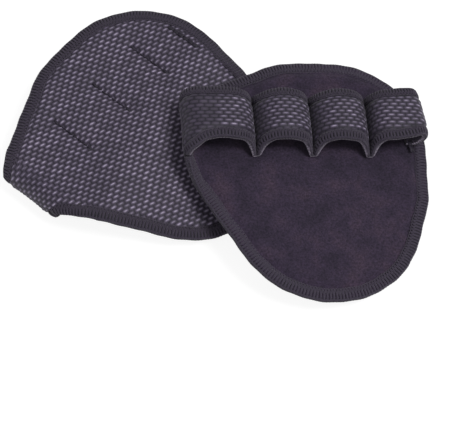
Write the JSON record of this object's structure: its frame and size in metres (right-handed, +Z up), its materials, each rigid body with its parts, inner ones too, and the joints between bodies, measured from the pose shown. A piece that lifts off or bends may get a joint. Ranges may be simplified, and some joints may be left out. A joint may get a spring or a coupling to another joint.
{
  "type": "hand grips",
  "caption": "Pair of soft neoprene palm grips, each a rounded pad with sewn finger loops and overlocked edges, lying one over the other.",
  "frame": {"origin": "middle of the pair's bounding box, on the surface that it lies on", "axes": "+Z up; +X across the right grip from its fold to its free side; +Y away from the viewer, roughly along the right grip's finger loops"},
  "size_m": [0.1844, 0.142, 0.0345],
  "materials": {
    "grip_fabric": "raised woven relief, dull",
    "foam": "closed-cell foam",
    "smooth_knit": "brushed knit, dull",
    "thread": "spun thread, slight sheen"
  },
  "bodies": {
    "left_palm": {"left_palm_skin": "grip_fabric", "left_palm_foam": "foam", "left_palm_lining": "smooth_knit", "left_palm_overlock": "thread"},
    "left_fingers": {"left_finger_skin": "grip_fabric", "left_finger_foam": "foam", "left_finger_lining": "smooth_knit", "left_finger_overlock": "thread", "left_strap_skin": "grip_fabric", "left_strap_foam": "foam", "left_strap_lining": "smooth_knit", "left_strap_front_overlock": "thread", "left_strap_rear_overlock": "thread", "left_seam_index": "thread", "left_seam_middle": "thread", "left_seam_ring": "thread", "left_end_tack": "thread"},
    "right_fingers": {"right_finger_skin": "grip_fabric", "right_finger_foam": "foam", "right_finger_lining": "smooth_knit", "right_finger_overlock": "thread", "right_strap_skin": "grip_fabric", "right_strap_foam": "foam", "right_strap_lining": "smooth_knit", "right_strap_front_overlock": "thread", "right_strap_rear_overlock": "thread", "right_seam_index": "thread", "right_seam_middle": "thread", "right_seam_ring": "thread", "right_end_tack": "thread"},
    "right_palm": {"right_palm_skin": "grip_fabric", "right_palm_foam": "foam", "right_palm_lining": "smooth_knit", "right_palm_overlock": "thread"}
  },
  "joints": [
    {"name": "left_flex", "type": "hinge", "parent": "left_palm", "child": "left_fingers", "pos_m": [-0.04879, -0.03586, 0.0177], "axis": [0.4658, 0.8849, 0], "range_deg": [0, 60]},
    {"name": "lift_off", "type": "slide", "parent": "left_palm", "child": "right_fingers", "axis": [0, 0, 1], "range_m": [0, 0.12]},
    {"name": "right_flex", "type": "hinge", "parent": "right_fingers", "child": "right_palm", "pos_m": [-0.0039, -0.02886, 0.0212], "axis": [-0.941, -0.2951, 0.1659], "range_deg": [0, 80]}
  ]
}
